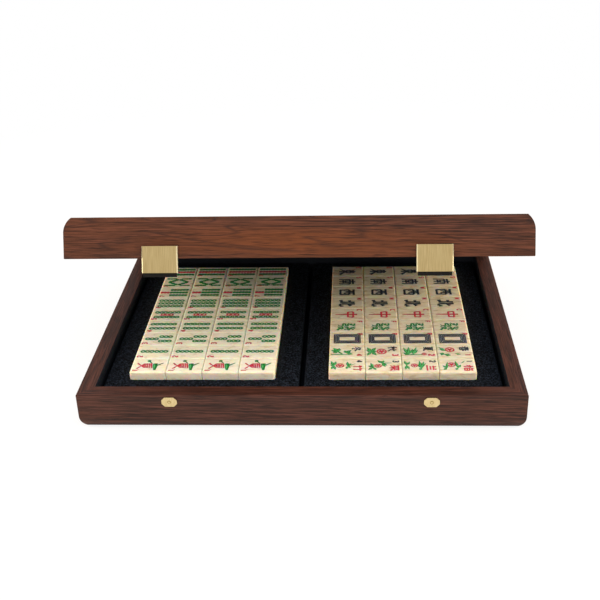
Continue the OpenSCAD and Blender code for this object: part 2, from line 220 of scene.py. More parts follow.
# Sheet brass, brushed and lacquered: pale gold with fine lines up and down
# Real brush lines are about 0.05 mm wide: they are drawn wider, so that they show
BRUSH_WIDTH = 0.35 * MM
BRUSH_LENGTH = 14 * MM
BRUSH_DEPTH = 0.02 * MM
BRUSH_GLOSS = 0.08
# Cosine of the angle up to which a face points to the front
FRONT_COSINE = 0.97


def brass(name, tilt, roughness, pale, deep, painted_side, front):
    """Brass with pale and deep lines, and one painted colour on every face that doesn't point to the front.
    """
    material, tree, place = new_material(name)
    brushed = node(tree, "ShaderNodeMapping", {
        "Vector": place, "Rotation": tilt, "Scale": (BRUSH_WIDTH, BRUSH_LENGTH, BRUSH_LENGTH)},
        vector_type="TEXTURE")
    lines = node(tree, "ShaderNodeTexNoise", {"Vector": brushed, "Scale": 1, "Detail": 3})
    shade = node(tree, "ShaderNodeValToRGB", {"Fac": lines}, ramp=[(0.3, deep), (0.7, pale)])
    facing = node(tree, "ShaderNodeVectorMath", {
        0: node(tree, "ShaderNodeTexCoord").outputs["Normal"], 1: front}, operation="DOT_PRODUCT")
    edge = node(tree, "ShaderNodeMath", {0: facing, 1: FRONT_COSINE}, operation="LESS_THAN")
    # Faces that don't point to the front are painted one colour that stands in for their light or shade
    side_painted = node(tree, "ShaderNodeMix", {0: edge, 6: shade, 7: colour(painted_side)}, data_type="RGBA")
    gloss = node(tree, "ShaderNodeMapRange", {
        "Value": lines, "To Min": roughness - BRUSH_GLOSS, "To Max": roughness + BRUSH_GLOSS})
    relief = node(tree, "ShaderNodeBump", {"Height": lines, "Strength": 0.3, "Distance": BRUSH_DEPTH})
    shader = node(tree, "ShaderNodeBsdfPrincipled", {
        "Base Color": side_painted, "Metallic": 1, "Roughness": gloss, "Normal": relief})
    node(tree, "ShaderNodeOutputMaterial", {"Surface": shader})
    return material


# Cast resin, polished: each tile has its own run of faint streaks along its length
STREAK_RUN = 26 * MM
STREAK_ACROSS = 1.3 * MM
CLOUD = 9 * MM
# How far red, green and blue light goes inside
GLOW_RADIUS = (3.5 * MM, 2 * MM, 0.9 * MM)


def resin(name, rows, pale, warm, vein, veined):
    """Resin for one block: its palest and warmest colour, and the colour and amount of its veins."""
    material, tree, place = new_material(name)
    low, high = block_box(rows)
    first_low, first_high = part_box(rows[0])
    pitch = Vector((TILE_LENGTH + TILE_GAP, first_high.y - first_low.y + TILE_GAP,
                    first_high.z - first_low.z + LAYER_GAP))
    start = low - Vector((TILE_GAP, TILE_GAP, LAYER_GAP)) / 2
    inside = node(tree, "ShaderNodeVectorMath", {0: place, 1: start}, operation="SUBTRACT")
    tile = node(tree, "ShaderNodeVectorMath", {0: inside, 1: pitch}, operation="SNAP")
    chance = node(tree, "ShaderNodeTexWhiteNoise", {"Vector": tile}, noise_dimensions="3D")
    own_place = node(tree, "ShaderNodeVectorMath", {0: chance.outputs["Color"], 1: place}, operation="ADD")
    run = node(tree, "ShaderNodeMapping", {
        "Vector": own_place, "Scale": (STREAK_RUN, STREAK_ACROSS, STREAK_ACROSS)}, vector_type="TEXTURE")
    cloud = node(tree, "ShaderNodeMapping", {
        "Vector": own_place, "Scale": (CLOUD, CLOUD / 2, CLOUD / 2)}, vector_type="TEXTURE")
    streaks = node(tree, "ShaderNodeTexNoise", {
        "Vector": run, "Scale": 1, "Detail": 4, "Roughness": 0.6, "Distortion": 0.8})
    clouds = node(tree, "ShaderNodeTexNoise", {"Vector": cloud, "Scale": 1, "Detail": 3, "Distortion": 0.5})
    body = node(tree, "ShaderNodeValToRGB", {"Fac": clouds}, ramp=[(0.35, warm), (0.6, pale)])
    veins = node(tree, "ShaderNodeMapRange", {
        "Value": streaks, "From Min": 0.52, "From Max": 0.72, "To Min": 0, "To Max": veined})
    grained = node(tree, "ShaderNodeMix", {0: veins, 6: body, 7: colour(vein)}, data_type="RGBA")
    own_tone = node(tree, "ShaderNodeMapRange", {"Value": chance, "To Min": 0.96, "To Max": 1.02})
    toned = node(tree, "ShaderNodeMix", {0: 1.0, 6: grained, 7: own_tone},
                 data_type="RGBA", blend_type="MULTIPLY")
    gloss = node(tree, "ShaderNodeMapRange", {"Value": clouds, "To Min": 0.22, "To Max": 0.36})
    shader = node(tree, "ShaderNodeBsdfPrincipled", {
        "Base Color": toned, "Roughness": gloss, "IOR": 1.53, "Subsurface Weight": 0.9,
        "Subsurface Radius": GLOW_RADIUS, "Subsurface Scale": 1})
    node(tree, "ShaderNodeOutputMaterial", {"Surface": shader})
    return material


def speckled(name, grain, detail, stops, surface, relief=None, gloss=None):
    """A material with one noise, from the size of its grain, its settings, colour stops and shader values.

    relief is the strength and depth of its bumps, gloss the least and greatest roughness.
    """
    material, tree, place = new_material(name)
    size = node(tree, "ShaderNodeMapping", {"Vector": place, "Scale": (grain,) * 3}, vector_type="TEXTURE")
    noise = node(tree, "ShaderNodeTexNoise", {"Vector": size, "Scale": 1, **detail})
    shade = node(tree, "ShaderNodeValToRGB", {"Fac": noise}, ramp=stops)
    inputs = {"Base Color": shade, **surface}
    if relief:
        bumps = node(tree, "ShaderNodeBump", {"Height": noise, "Strength": relief[0], "Distance": relief[1]})
        inputs["Normal"] = bumps
    if gloss:
        wear = node(tree, "ShaderNodeMapRange", {"Value": noise, "To Min": gloss[0], "To Max": gloss[1]})
        inputs["Roughness"] = wear
    shader = node(tree, "ShaderNodeBsdfPrincipled", inputs)
    node(tree, "ShaderNodeOutputMaterial", {"Surface": shader})
    return material


# Cut polyethylene foam: black, dull, with fine cells that catch the light as grey specks
# Real cells are about 0.5 mm wide: they are drawn wider, so that they show
FOAM_CELL = 1.2 * MM
FOAM_CELL_DEPTH = 0.5 * MM
black_foam = speckled(
    "cut_black_foam", FOAM_CELL, {"Detail": 3, "Roughness": 0.65}, [(0.46, "#020304"), (0.68, "#2c323d")],
    {"Roughness": 0.95, "IOR": 1.5, "Specular IOR Level": 0.1}, relief=(0.7, FOAM_CELL_DEPTH))

# Nickel-plated steel: bright grey with faint wear
WEAR_PATCH = 0.8 * MM
bright_steel = speckled(
    "plated_steel", WEAR_PATCH, {"Detail": 3}, [(0.3, "#86847f"), (0.7, "#a9a9a6")], {"Metallic": 1},
    gloss=(0.25, 0.4))

# Moulded ABS: black with a fine spark finish
SPARK = 0.6 * MM
SPARK_DEPTH = 0.05 * MM
abs_black = speckled(
    "black_abs", SPARK, {"Detail": 2}, [(0.35, "#0b0a08"), (0.7, "#15120f")],
    {"Roughness": 0.6, "IOR": 1.53, "Specular IOR Level": 0.12}, relief=(0.4, SPARK_DEPTH))

# Enamel wiped into the engraving: its tone goes up and down with how thick it lies
PAINT_PATCH = 2.5 * MM


def enamel(name, thick, thin):
    """Enamel with the colours of its thick and thin parts."""
    return speckled(name, PAINT_PATCH, {"Detail": 3}, [(0.35, thick), (0.68, thin)],
                    {"Roughness": 0.42, "IOR": 1.5})


FLAT = (0, 0, 0)
UPWARDS = Vector((0, 0, 1))
FORWARDS = Vector((0, -1, 0))
RIGHTWARDS = Vector((1, 0, 0))
LID_FORWARDS = lid_tilt.to_matrix() @ FORWARDS
BASE_GLOW = 0.1
BASE_RINGS = 0.6
LID_GLOW = 0.2
LID_RINGS = 0.7
# Middle of the painted pool of warm light, low on the lid's front
lid_light_pool = lid_turn @ (Vector((8, -138, 42)) * MM)
base_oak_x = oak("dark_oak_base_long", SHADED_BASE_TONES, True, FLAT, BASE_GLOW, BASE_RINGS)
# The inner faces of the base's rails and bottom are painted nearly black: painted shade
left_oak = oak("dark_oak_left", SHADED_BASE_TONES, False, FLAT, BASE_GLOW, BASE_RINGS, shaded_side=RIGHTWARDS)
right_oak = oak("dark_oak_right", SHADED_BASE_TONES, False, FLAT, BASE_GLOW, BASE_RINGS, shaded_side=-RIGHTWARDS)
bottom_oak = oak("dark_oak_bottom", SHADED_BASE_TONES, True, FLAT, BASE_GLOW, BASE_RINGS, shaded_side=UPWARDS)
back_oak = oak("dark_oak_back", SHADED_BASE_TONES, True, FLAT, BASE_GLOW, BASE_RINGS, shaded_side=FORWARDS)
lid_oak_x = oak("dark_oak_lid_long", LIT_LID_TONES, True, lid_tilt, LID_GLOW, LID_RINGS, heart=lid_light_pool)
lid_oak_y = oak("dark_oak_lid_cross", LIT_LID_TONES, False, lid_tilt, LID_GLOW, LID_RINGS)
# Faces that don't point to the front: painted shade on the strike plates and hinges, a painted highlight on
# the clasp covers
base_brass = brass("lacquered_brass", FLAT, 0.28, "#d0be94", "#b5a273", "#a9925f", FORWARDS)
lid_brass = brass("brushed_brass", lid_tilt, 0.34, "#cbb483", "#ac9360", "#efe3b8", LID_FORWARDS)
hinge_brass = brass("rolled_brass", FLAT, 0.3, "#d3bd8a", "#b8a06c", "#bda468", FORWARDS)
cream_resin = resin("cream_resin", LEFT_BLOCK, "#f3ebd8", "#ebe0c8", "#d0b98c", 0.25)
grained_resin = resin("grained_resin", RIGHT_BLOCK, "#efe4ce", "#e3d3b4", "#a88858", 0.55)
red_enamel = enamel("red_enamel", "#b3172c", "#d23b4b")
green_enamel = enamel("green_enamel", "#12662a", "#22843b")
leaf_enamel = enamel("leaf_green_enamel", "#379a4c", "#58b06a")
dark_enamel = enamel("blue_black_enamel", "#15171f", "#2a2d38")

FINISHES = {
    base_oak_x: ["base_front_rail"],
    back_oak: ["base_back_rail"],
    bottom_oak: ["base_bottom_panel"],
    left_oak: ["base_left_rail"],
    right_oak: ["base_right_rail"],
    lid_oak_x: ["lid_front_rail", "lid_back_rail", "lid_top_panel"],
    lid_oak_y: ["lid_left_rail", "lid_right_rail"],
    base_brass: ["strike_plates", "strike_rivets"],
    lid_brass: ["clasp_covers"],
    hinge_brass: [
        "hinge_leaves_base", "hinge_leaves_lid", "hinge_pins", "hinge_screws_base", "hinge_screws_lid",
    ],
    bright_steel: ["clasp_magnets", "clasp_screws"],
    abs_black: ["clasp_blocks"],
    cream_resin: LEFT_BLOCK,
    grained_resin: RIGHT_BLOCK,
}
for finish, nodes in FINISHES.items():
    for name in nodes:
        mesh = frame["nodes"][name].data
        mesh.materials.clear()
        mesh.materials.append(finish)


# Strokes. A stroke is a list of places on a tile, right and up from its middle in mm, with a half width at
# each, and whether it closes on itself.

# Half width of a brush at the start, middle and end of a stroke, in tenths of a character's height
BAR = (0.8, 0.62, 0.8)
SWEEP = (0.95, 0.7, 0.2)
PRESS = (0.3, 0.7, 1.05)
DAB = (0.35, 0.95, 0.55)
PEN = (1, 1, 1)

CHARACTERS = {
    "one": [(BAR, (0.8, 4.8), (9.2, 5.4))],
    "two": [(BAR, (2.2, 7.6), (7.8, 7.9)), (BAR, (0.8, 2), (9.2, 2.4))],
    "three": [(BAR, (1.8, 8.4), (8.2, 8.7)), (BAR, (2.4, 5.1), (7.6, 5.4)), (BAR, (0.8, 1.6), (9.2, 1.9))],
    "four": [
        (BAR, (1.4, 8.4), (1.8, 1.4)), (BAR, (1.4, 8.4), (8.6, 8.4)), (BAR, (8.6, 8.4), (8.2, 1.4)),
        (BAR, (1.8, 1.8), (8.2, 1.8)), (SWEEP, (4, 8.2), (3.8, 6), (2.8, 4)),
        (BAR, (6, 8.2), (6, 5), (7.4, 4.6)),
    ],
    "five": [
        (BAR, (1.6, 8.8), (8.4, 8.9)), (BAR, (5, 8.8), (3.8, 1.4)), (BAR, (2.2, 5.3), (7.4, 5.5)),
        (BAR, (7.4, 5.4), (7, 1.4)), (BAR, (0.8, 1.3), (9.2, 1.5)),
    ],
    "six": [
        (DAB, (4.4, 9.6), (5.6, 8)), (BAR, (0.8, 6.4), (9.2, 6.7)), (SWEEP, (4, 5), (3, 3), (1.2, 0.8)),
        (PRESS, (5.8, 5), (7.4, 3.2), (8.8, 1)),
    ],
    "seven": [
        (BAR, (0.8, 5.2), (9.2, 6.6)), (BAR, (4.4, 9.4), (4.3, 2.4)),
        (BAR, (4.3, 2.4), (5.4, 1.3), (8.8, 1.5)), (SWEEP, (8.8, 1.5), (9.2, 3.4)),
    ],
    "eight": [(SWEEP, (4.2, 8.2), (3.4, 4.6), (0.9, 1.2)), (PRESS, (5.4, 8.8), (6.6, 4.4), (9.2, 1.2))],
    "nine": [
        (SWEEP, (4.4, 9.5), (4, 5), (1, 0.8)), (BAR, (1.2, 6.5), (6.8, 7)), (BAR, (6.8, 7), (6.6, 2.4)),
        (BAR, (6.6, 2.4), (7.4, 1.3), (9.2, 1.6)), (SWEEP, (9.2, 1.6), (9.4, 3.4)),
    ],
    "myriad": [
        (BAR, (1, 8.9), (9, 9)), (BAR, (3.4, 9.9), (3.4, 8.1)), (BAR, (6.6, 9.9), (6.6, 8.1)),
        (BAR, (2.4, 7.5), (2.4, 4.5)), (BAR, (2.4, 7.5), (7.6, 7.5)), (BAR, (7.6, 7.5), (7.6, 4.5)),
        (BAR, (2.4, 6), (7.6, 6)), (BAR, (2.4, 4.6), (7.6, 4.6)), (BAR, (5, 7.4), (5, 1.2)),
        (BAR, (1.2, 3.4), (1.2, 0.3)), (BAR, (1.2, 3.4), (8.8, 3.4)), (BAR, (8.8, 3.4), (8.7, 0.5)),
        (SWEEP, (5, 2), (3, 1.3)), (DAB, (6, 2.4), (7.2, 1.2)),
    ],
    "east": [
        (BAR, (5, 10), (5, 0.2)), (BAR, (2.6, 8.6), (7.4, 8.6)), (BAR, (2.8, 7.1), (7.2, 7.1)),
        (BAR, (2.8, 7.1), (3.1, 4.5)), (BAR, (7.2, 7.1), (6.9, 4.5)), (BAR, (3.1, 4.5), (6.9, 4.5)),
        (SWEEP, (4.8, 4.4), (3, 2.4), (0.2, 0.4)), (PRESS, (5.2, 4.4), (7, 2.4), (9.8, 0.4)),
    ],
    "south": [
        (BAR, (1.2, 8.3), (8.8, 8.5)), (BAR, (5, 9.9), (5, 7)), (BAR, (1.6, 6.7), (1.3, 0.3)),
        (BAR, (1.6, 6.7), (8.6, 6.7)), (BAR, (8.6, 6.7), (8.6, 1)), (SWEEP, (8.6, 1), (7.4, 0.4)),
        (DAB, (3.4, 6.1), (4.2, 4.9)), (SWEEP, (6.6, 6.1), (5.8, 4.9)), (BAR, (2.9, 4.2), (7.1, 4.3)),
        (BAR, (2.7, 2.7), (7.3, 2.8)), (BAR, (5, 4.2), (5, 0.4)),
    ],
    "west": [
        (BAR, (0.8, 8.8), (9.2, 9)), (BAR, (1.3, 6.4), (1.7, 0.8)), (BAR, (1.3, 6.4), (8.7, 6.4)),
        (BAR, (8.7, 6.4), (8.3, 0.8)), (BAR, (1.7, 1.2), (8.3, 1.2)),
        (SWEEP, (3.9, 8.8), (3.8, 5), (2.6, 3)), (BAR, (6.1, 8.8), (6.1, 4.6)),
        (BAR, (6.1, 4.6), (6.4, 3.7), (7.6, 3.6)),
    ],
    "north": [
        (BAR, (3.6, 9.4), (3.6, 1.2)), (BAR, (0.9, 6.5), (3.5, 6.7)),
        (PRESS, (3.7, 3), (2.2, 2), (0.5, 1.4)), (BAR, (6.1, 9.6), (6.1, 2.2)),
        (BAR, (6.1, 2.2), (6.9, 1.1), (9.2, 1.3)), (SWEEP, (9.2, 1.3), (9.5, 3.4)),
        (SWEEP, (9, 7.4), (6.3, 5.2)),
    ],
    "centre": [
        (BAR, (0.6, 9), (1.2, 2)), (BAR, (0.6, 8.8), (9.4, 8.8)), (BAR, (9.4, 9), (8.8, 2)),
        (BAR, (1.1, 2.4), (8.9, 2.4)),
    ],
    "fortune": [
        (BAR, (1.2, 9.2), (3.8, 9.3)), (SWEEP, (3.8, 9.3), (2.8, 7.2), (0.4, 5.6)),
        (DAB, (1.4, 8), (2.4, 7)), (PRESS, (5.3, 9.7), (6.6, 7.6), (9.6, 5.7)),
        (SWEEP, (7.4, 9.6), (6.2, 8.4)), (SWEEP, (8.9, 8.8), (7.3, 7.3)), (BAR, (1.6, 5.7), (4.3, 5.7)),
        (BAR, (4.3, 5.7), (4.2, 4.4)), (BAR, (1.6, 4.4), (4.2, 4.4)), (BAR, (1.6, 4.4), (1.4, 3)),
        (BAR, (1.4, 3), (4.5, 3)), (SWEEP, (4.5, 3), (4.3, 1), (2.6, 0.2)),
        (SWEEP, (6, 5.7), (5.9, 4.3), (4.9, 3.6)), (BAR, (6, 5.7), (8.1, 5.7)),
        (BAR, (8.1, 5.7), (8.2, 4.2), (9.4, 4)), (BAR, (5.4, 2.9), (8.4, 2.9)),
        (SWEEP, (8.4, 2.9), (7, 1.3), (4.8, 0)), (PRESS, (5.8, 2.4), (7.2, 1.2), (9.6, 0)),
    ],
    "spring": [
        (BAR, (1.6, 9), (8.4, 9)), (BAR, (2.2, 7.6), (7.8, 7.6)), (BAR, (0.8, 6.2), (9.2, 6.2)),
        (SWEEP, (5, 9.9), (4.6, 6.6), (0.6, 3)), (PRESS, (5.4, 6.2), (7, 4.4), (9.4, 3)),
        (BAR, (3, 4), (3, 0.2)), (BAR, (3, 4), (7, 4)), (BAR, (7, 4), (7, 0.2)), (BAR, (3, 2.2), (7, 2.2)),
        (BAR, (3, 0.4), (7, 0.4)),
    ],
    "summer": [
        (BAR, (1, 9.4), (9, 9.4)), (BAR, (2.8, 7.9), (2.8, 3.8)), (BAR, (2.8, 7.9), (7.2, 7.9)),
        (BAR, (7.2, 7.9), (7.2, 3.8)), (BAR, (2.8, 6.5), (7.2, 6.5)), (BAR, (2.8, 5.2), (7.2, 5.2)),
        (BAR, (2.8, 3.9), (7.2, 3.9)), (SWEEP, (4, 3.6), (1.2, 1.6)), (BAR, (3.2, 2.7), (7, 2.7)),
        (SWEEP, (7, 2.7), (5, 1), (1.4, 0)), (PRESS, (3.6, 2), (6, 0.8), (9.2, 0)),
    ],
    "autumn": [
        (SWEEP, (4, 9.7), (1.2, 8.7)), (BAR, (0.5, 6.8), (4.8, 6.9)), (BAR, (2.8, 9), (2.8, 0.2)),
        (SWEEP, (2.7, 6.4), (0.4, 3.2)), (DAB, (3, 6), (4.6, 4.4)), (DAB, (5.7, 7.2), (5.2, 5)),
        (SWEEP, (9.3, 7.4), (8, 5.4)), (SWEEP, (7.2, 9.5), (7, 4.4), (4.6, 0.2)),
        (PRESS, (7.1, 4.6), (8, 2), (9.7, 0.3)),
    ],
    "winter": [
        (SWEEP, (4, 9.8), (3, 7.6), (0.8, 5.6)), (BAR, (3.6, 8.5), (7.2, 8.5)),
        (SWEEP, (7.2, 8.5), (5, 5.4), (0.8, 3.2)), (PRESS, (3, 7), (6, 4.8), (9.6, 3.3)),
        (DAB, (4.2, 3.4), (5.8, 2.3)), (DAB, (3.4, 1.6), (6, 0)),
    ],
    "plum": [
        (BAR, (0.4, 6.6), (4.6, 6.8)), (BAR, (2.6, 9.6), (2.6, 0.4)), (SWEEP, (2.4, 6.2), (0.2, 3.2)),
        (SWEEP, (6.4, 9.6), (5, 7.2)), (BAR, (5.6, 8.2), (9.6, 8.2)), (BAR, (5.6, 6), (9, 6)),
        (BAR, (5.6, 6), (5.2, 1.2)), (BAR, (9, 6), (8.6, 0.6)), (BAR, (4.6, 3.6), (9.8, 3.6)),
        (BAR, (5.2, 1.2), (8.8, 1.2)),
    ],
    "orchid": [
        (DAB, (2.6, 9.6), (3.8, 7.8)), (SWEEP, (7.6, 9.8), (6.2, 7.8)), (BAR, (1.6, 7), (8.4, 7.1)),
        (BAR, (2.2, 4), (7.8, 4.1)), (BAR, (0.6, 0.9), (9.4, 1)),
    ],
    "chrysanthemum": [
        (BAR, (1, 9), (9, 9)), (BAR, (5, 9.8), (5, 0.4)), (BAR, (1, 5), (9, 5.2)),
        (SWEEP, (4.6, 4.8), (1, 0.8)), (PRESS, (5.4, 4.8), (9.2, 0.8)), (DAB, (2, 8), (3.6, 6)),
        (SWEEP, (8, 8), (6.4, 6)),
    ],
    "reed": [
        (SWEEP, (2.6, 9.6), (0.8, 6.2)), (BAR, (1.8, 7.6), (4.6, 7.7)), (BAR, (3, 7.6), (3, 0.8)),
        (SWEEP, (6.7, 9.6), (5.1, 6.2)), (BAR, (6.1, 7.6), (9.5, 7.7)), (BAR, (7.7, 7.6), (7.7, 1.2)),
        (SWEEP, (7.7, 1.2), (6.2, 1.4)),
    ],
    "1": [(PEN, (5, 9.4), (5, 0.6)), (PEN, (3.2, 7.6), (5, 9.4))],
    "2": [
        (PEN, (1.8, 7.4), (3, 9.3), (6.6, 9.3), (8, 7.1), (5, 3.8), (1.8, 0.8)),
        (PEN, (1.8, 0.8), (8.4, 0.8)),
    ],
    "3": [
        (PEN, (2, 8.6), (4.8, 9.5), (7.6, 8.2), (7, 6), (4.4, 5.2)),
        (PEN, (4.4, 5.2), (7.8, 4.2), (7.8, 1.6), (4.6, 0.5), (1.8, 1.6)),
    ],
    "4": [(PEN, (6.4, 9.5), (1.4, 3.2)), (PEN, (1.4, 3.2), (8.8, 3.2)), (PEN, (6.4, 9.5), (6.4, 0.5))],
    "5": [
        (PEN, (7.8, 9.3), (2.6, 9.3)), (PEN, (2.6, 9.3), (2.2, 5.4)),
        (PEN, (2.2, 5.4), (5.6, 6.1), (8, 3.8), (6.6, 1), (4, 0.5), (1.8, 1.5)),
    ],
    "6": [
        (PEN, (7.4, 9.2), (4, 7.6), (2, 3.8), (3.4, 0.8), (6.6, 0.7), (8, 3), (6.4, 5.2), (3.6, 5),
         (2.2, 3.4)),
    ],
    "7": [(PEN, (1.6, 9.3), (8.4, 9.3)), (PEN, (8.4, 9.3), (4, 0.5))],
    "8": [
        (PEN, (5, 5.3), (2.5, 7.4), (5, 9.5), (7.5, 7.4), (5, 5.3)),
        (PEN, (5, 5.3), (1.8, 2.8), (5, 0.5), (8.2, 2.8), (5, 5.3)),
    ],
    "9": [
        (PEN, (2.6, 0.8), (6, 2.4), (8, 6.2), (6.6, 9.2), (3.4, 9.3), (2, 7), (3.6, 4.8), (6.4, 5),
         (7.8, 6.6)),
    ],
    "N": [(PEN, (1.8, 0.6), (1.8, 9.4)), (PEN, (1.8, 9.4), (8.2, 0.6)), (PEN, (8.2, 0.6), (8.2, 9.4))],
    "E": [
        (PEN, (2.2, 0.6), (2.2, 9.4)), (PEN, (2.2, 9.3), (8.2, 9.3)), (PEN, (2.2, 5.2), (7.4, 5.2)),
        (PEN, (2.2, 0.7), (8.4, 0.7)),
    ],
    "W": [
        (PEN, (0.8, 9.4), (3, 0.6)), (PEN, (3, 0.6), (5, 7.4)), (PEN, (5, 7.4), (7, 0.6)),
        (PEN, (7, 0.6), (9.2, 9.4)),
    ],
    "S": [(PEN, (8, 8.2), (5, 9.4), (2.2, 7.6), (5, 5.2), (7.9, 2.6), (5, 0.6), (1.8, 1.8))],
    "C": [(PEN, (8.2, 8), (5.2, 9.4), (2, 6.6), (2, 3.2), (5.2, 0.6), (8.2, 2))],
    "F": [(PEN, (2.4, 0.6), (2.4, 9.4)), (PEN, (2.4, 9.3), (8.4, 9.3)), (PEN, (2.4, 5.2), (7.4, 5.2))],
    "P": [(PEN, (2.4, 0.6), (2.4, 9.4)), (PEN, (2.4, 9.3), (6.4, 9.2), (8.2, 7.2), (6.4, 4.9), (2.4, 4.7))],
}
CELL_SIDE = 10


def spread(kind, count):
    """Half widths of a brush at evenly counted places of a stroke."""
    start, middle, end = kind
    widths = []
    for index in range(count):
        share = 2 * index / (count - 1)
        if share <= 1:
            widths.append(start + (middle - start) * share)
        else:
            widths.append(middle + (end - middle) * (share - 1))
    return widths


def brush(kind, places, weight=1.0):
    """A stroke through some places. One with only two gets a middle, so that its width can change there."""
    if len(places) == 2:
        (u0, v0), (u1, v1) = places
        places = [(u0, v0), ((u0 + u1) / 2, (v0 + v1) / 2), (u1, v1)]
    widths = spread(kind, len(places))
    return [(u, v, weight * width) for (u, v), width in zip(places, widths)], False


def write(character, middle, width, height, weight=1.0):
    """The strokes of a character, in a cell of some width and height."""
    strokes = []
    for kind, *places in CHARACTERS[character]:
        moved = [(middle[0] + (x / CELL_SIDE - 0.5) * width, middle[1] + (y / CELL_SIDE - 0.5) * height)
                 for x, y in places]
        strokes.append(brush(kind, moved, weight * height / CELL_SIDE))
    return strokes


RING_KNOTS = 8


def around(middle, radius, count):
    """Places at equal steps round a middle."""
    turn = math.tau / count
    return [(middle[0] + radius * math.cos(step * turn), middle[1] + radius * math.sin(step * turn))
            for step in range(count)]


def ring(middle, radius, half_width):
    """A closed round stroke."""
    return [(*place, half_width) for place in around(middle, radius, RING_KNOTS)], True


def spot(middle, radius):
    """A filled round mark."""
    return ring(middle, radius / 2, radius / 2)


LEAF = (0.15, 1.0, 0.1)
STALK = (1.0, 1.0, 0.5)


def leaf(root, tip, half_width):
    """A stroke that is thin at both ends."""
    return brush(LEAF, [root, tip], half_width)


def stalk(places, half_width=0.4):
    """A stroke that gets thinner at its end."""
    return brush(STALK, places, half_width)


# Bamboo sticks: three hollow beads in a row, or on crowded tiles three filled beads with necks between them
BEADS = (-2 / 3, 0, 2 / 3)
BEAD_HALF = 2.35
BEAD_LINE = 0.8
# How far the ends of a hollow bead are drawn in, as a share of its line's half width
LOOP_INSET = 0.3
FILLED_HALF = 1.95
NECK_HALF = 1.4
BEAD_REACH = 0.17


def on_stick(middle, length, lean, share):
    """A place along a stick, from its foot at -1 to its head at 1."""
    reach = share * length / 2
    return middle[0] + reach * math.sin(lean), middle[1] + reach * math.cos(lean)


def hollow_stick(middle, length, lean=0.0):
    """The three oval loops of a stick, each one closed stroke."""
    across = BEAD_HALF - BEAD_LINE
    side = (across * math.cos(lean), -across * math.sin(lean))
    reach = 1 / 3 - 2 * LOOP_INSET * BEAD_LINE / length
    loops = []
    for bead in BEADS:
        centre = on_stick(middle, length, lean, bead)
        places = [on_stick(middle, length, lean, bead - reach), (centre[0] + side[0], centre[1] + side[1]),
                  on_stick(middle, length, lean, bead + reach), (centre[0] - side[0], centre[1] - side[1])]
        loops.append(([(*place, BEAD_LINE) for place in places], True))
    return loops


def filled_stick(middle, length, lean=0.0, girth=1.0):
    """A filled stick, as one stroke."""
    shares = [(-1, NECK_HALF)]
    for bead in BEADS:
        shares += [(bead - BEAD_REACH, FILLED_HALF), (bead + BEAD_REACH, FILLED_HALF),
                   (bead + 1 / 3, NECK_HALF)]
    return [([(*on_stick(middle, length, lean, share), half * girth) for share, half in shares], False)]


# Painting

# Half thickness of the paint, as a share of a stroke's half width
PAINT_RISE = 0.035
# Turns of a tile: the left block's tiles have their heads to the left, the right block's to the right
HEAD_LEFT = math.pi / 2
HEAD_RIGHT = -math.pi / 2
# Steps between the points of a curved stroke. A straight one, or one with many points, has a single step
CURVE_STEPS = 3
MANY_POINTS = 8


def paint_row(name, row, finish, lift, tiles):
    """One piece: the marks of one colour on a row. tiles has the strokes of each tile, or of all alike."""
    if len(tiles) == 1:
        tiles = tiles * TILES_IN_ROW
    low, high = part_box(row)
    pitch = (high.x - low.x - TILE_LENGTH) / (TILES_IN_ROW - 1)
    turn = HEAD_LEFT if row in LEFT_BLOCK else HEAD_RIGHT
    row_step = -pitch if row in LEFT_BLOCK else pitch
    drawing = bpy.data.curves.new(name, "CURVE")
    drawing.dimensions = "3D"
    drawing.twist_mode = "Z_UP"
    drawing.bevel_depth = MM
    drawing.bevel_resolution = 0
    drawing.use_fill_caps = True
    for column, strokes in enumerate(tiles):
        shift = row_step * (column - (TILES_IN_ROW - 1) / 2)
        for points, closed in strokes:
            spline = drawing.splines.new("BEZIER")
            spline.bezier_points.add(len(points) - 1)
            spline.use_cyclic_u = closed
            straight = len(points) == 3 and not closed
            spline.resolution_u = 1 if straight or len(points) > MANY_POINTS else CURVE_STEPS
            for knot, (u, v, half_width) in zip(spline.bezier_points, points):
                knot.co = (u * MM, v * MM + shift, 0)
                knot.radius = half_width
                knot.handle_left_type = "AUTO"
                knot.handle_right_type = "AUTO"
    piece = bpy.data.objects.new(name, drawing)
    bpy.context.scene.collection.objects.link(piece)
    bpy.ops.object.select_all(action="DESELECT")
    piece.select_set(True)
    bpy.context.view_layer.objects.active = piece
    bpy.ops.object.convert(target="MESH")
    piece = bpy.context.object
    piece.name = name
    piece.scale = (1, 1, PAINT_RISE)
    piece.rotation_euler = (0, 0, turn)
    piece.location = ((low.x + high.x) / 2, (low.y + high.y) / 2, high.z + lift)
    bpy.ops.object.transform_apply(location=True, rotation=True, scale=True)
    piece.data.materials.clear()
    piece.data.materials.append(finish)
    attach(piece, row)
    return piece


# The pale green lies on the dark green
SECOND_COAT = 0.09 * MM
PAINTS = {
    "red": (red_enamel, "red_paint", 0),
    "green": (green_enamel, "green_paint", 0),
    "leaf": (leaf_enamel, "green_paint", SECOND_COAT),
    "dark": (dark_enamel, "dark_paint", 0),
}


def paint(row, marks):
    """All marks of a row: for each paint, the strokes of each tile, or of all alike."""
    for shade, tiles in marks.items():
        finish, slot, lift = PAINTS[shade]
        if any(tiles):
            paint_row(row.replace("tiles_", "marks_") + "_" + shade, row, finish, lift, tiles)


